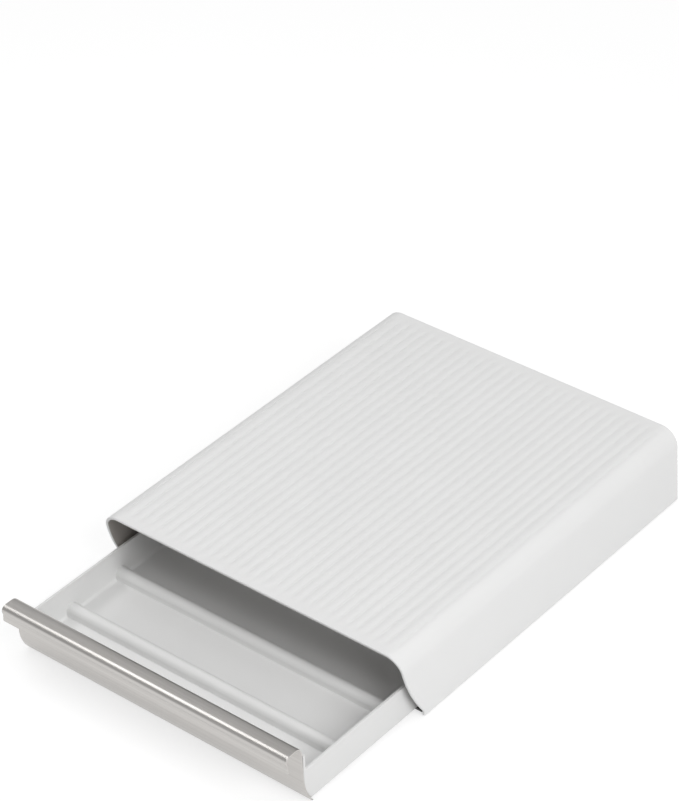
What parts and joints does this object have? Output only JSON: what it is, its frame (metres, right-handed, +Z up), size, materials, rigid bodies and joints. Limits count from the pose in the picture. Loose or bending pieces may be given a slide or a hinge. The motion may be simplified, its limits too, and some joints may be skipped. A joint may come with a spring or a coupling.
{
  "type": "coffee pod drawer",
  "caption": "Low ribbed cover over a sliding tray with a hooked brushed steel front, for storing coffee pods under a machine.",
  "frame": {"origin": "Bottom centre of the box around the unit with the drawer partly open as drawn, on the plane the feet stand on", "axes": "+X to the right as seen from the front, -Y the way the drawer opens, +Z up"},
  "size_m": [0.2708, 0.4365, 0.0625],
  "materials": {
    "white_abs": "white moulded ABS, soft satin",
    "base_abs": "charcoal moulded ABS, matt",
    "tray_abs": "white moulded ABS, soft satin",
    "front_steel": "stainless sheet brushed along its length",
    "foot_rubber": "black moulded rubber",
    "foam_tape": "grey foam tape"
  },
  "bodies": {
    "housing": {"cover": "white_abs", "base_plate": "base_abs", "foot_front_left": "foot_rubber", "foot_front_right": "foot_rubber", "foot_rear_left": "foot_rubber", "foot_rear_right": "foot_rubber"},
    "drawer": {"drawer_tray": "tray_abs", "steel_front": "front_steel", "tape_upper": "foam_tape", "tape_lower": "foam_tape"}
  },
  "joints": [
    {"name": "drawer_slide", "type": "slide", "parent": "housing", "child": "drawer", "axis": [0, -1, 0], "range_m": [-0.1105, 0.1395]}
  ]
}
